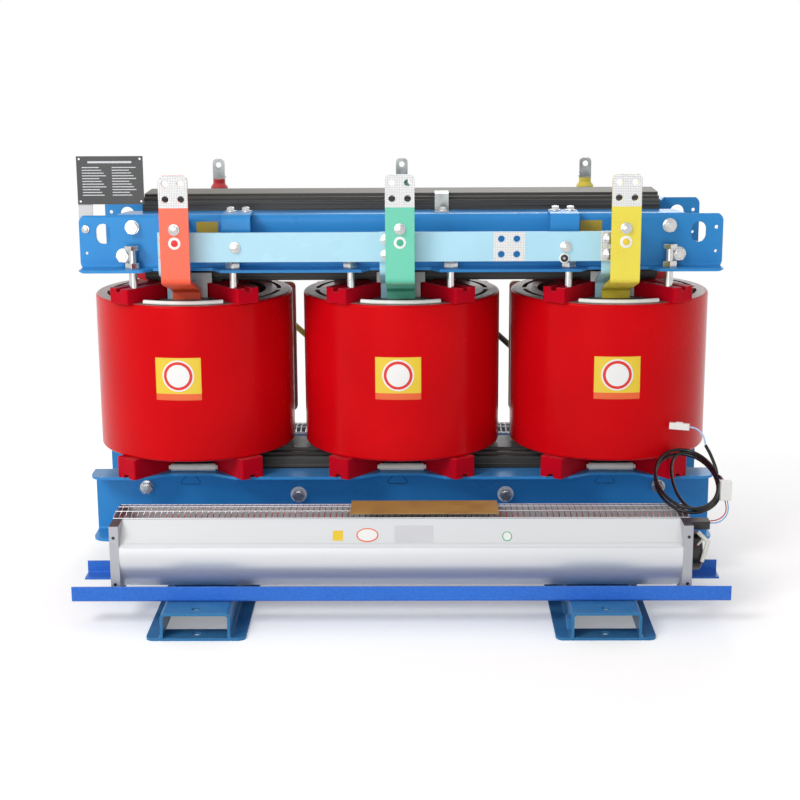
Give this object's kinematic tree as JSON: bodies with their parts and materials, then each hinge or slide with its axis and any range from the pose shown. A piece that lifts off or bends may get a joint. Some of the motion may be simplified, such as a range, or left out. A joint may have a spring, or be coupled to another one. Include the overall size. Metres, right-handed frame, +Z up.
{
  "type": "dry-type power transformer",
  "caption": "Three-phase dry-type power transformer with cast-resin windings, stepped core, clamping frames, terminal bars and cross-flow cooling fans on skid feet.",
  "frame": {"origin": "on the floor under the middle of the core, at the centre of the feet", "axes": "+X along the yokes from phase c to phase a, +Y away from the low-voltage terminals, +Z up"},
  "size_m": [1.36, 1.08, 0.928],
  "materials": {
    "arm_grey": "light grey paint",
    "bar_green": "green enamel, tinned contact end",
    "bar_red": "orange-red enamel, tinned contact end",
    "bar_yellow": "yellow enamel, tinned contact end",
    "block_red": "moulded red block",
    "board_white": "white insulating board",
    "brass": "plain brass",
    "cable_black": "black PVC jacket",
    "casing": "brushed aluminium sheet",
    "coil_red": "gloss cast resin",
    "core_steel": "lacquered laminations, dark edges",
    "core_wires": "thin coloured cores",
    "end_grey": "grey coated steel",
    "frame_blue": "gloss enamel paint",
    "guard_wire": "bright wire",
    "insulator": "brown-red resin",
    "lv_foil": "dark varnished foil winding",
    "motor_black": "black enamel",
    "neutral_blue": "light blue enamel, tinned contacts",
    "pad_dark": "dark packing",
    "plate_black": "black enamel plate",
    "plug_white": "white nylon",
    "rail_blue": "gloss enamel paint, brighter blue",
    "resin_beige": "natural cast resin panel",
    "rod_black": "black sleeving",
    "rotor": "rolled aluminium blades",
    "tinned": "tinned metal",
    "zinc": "bright zinc plate"
  },
  "bodies": {
    "root": {"bus_insulators": "insulator", "clamp_lower_front": "frame_blue", "clamp_lower_rear": "frame_blue", "clamp_upper_front": "frame_blue", "clamp_upper_rear": "frame_blue", "core_legs": "core_steel", "core_lower_yoke": "core_steel", "core_pads": "pad_dark", "core_upper_yoke": "core_steel", "earth_strap": "tinned", "fan_front_casing": "casing", "fan_front_ends": "end_grey", "fan_front_guard": "guard_wire", "fan_front_motor": "motor_black", "fan_front_rotor": "rotor", "fan_rear_casing": "casing", "fan_rear_ends": "end_grey", "fan_rear_guard": "guard_wire", "fan_rear_motor": "motor_black", "fan_rear_rotor": "rotor", "foot_left": "frame_blue", "foot_right": "frame_blue", "foot_risers": "frame_blue", "hv_coil_a": "coil_red", "hv_coil_b": "coil_red", "hv_coil_c": "coil_red", "hv_insulators": "insulator", "hv_links": "rod_black", "hv_seats": "frame_blue", "hv_terminals": "tinned", "insulator_brackets": "frame_blue", "lead_blue_wire": "core_wires", "lead_box": "plug_white", "lead_cores": "core_wires", "lead_inlet": "cable_black", "lead_loops": "cable_black", "lead_plug": "plug_white", "lead_red_wire": "core_wires", "lead_tail": "cable_black", "lower_blocks": "block_red", "lv_bar_a": "bar_yellow", "lv_bar_b": "bar_green", "lv_bar_c": "bar_red", "lv_coils": "lv_foil", "nameplate": "plate_black", "nameplate_arm": "arm_grey", "neutral_bar": "neutral_blue", "neutral_risers": "neutral_blue", "outlet_boards": "board_white", "pressure_screws": "zinc", "rail_front_inner": "rail_blue", "rail_front_outer": "rail_blue", "rail_rear_inner": "rail_blue", "rail_rear_outer": "rail_blue", "spacer_tubes": "board_white", "tap_studs": "brass", "terminal_panels": "resin_beige", "tie_bolts": "zinc", "upper_blocks": "block_red"}
  },
  "joints": []
}
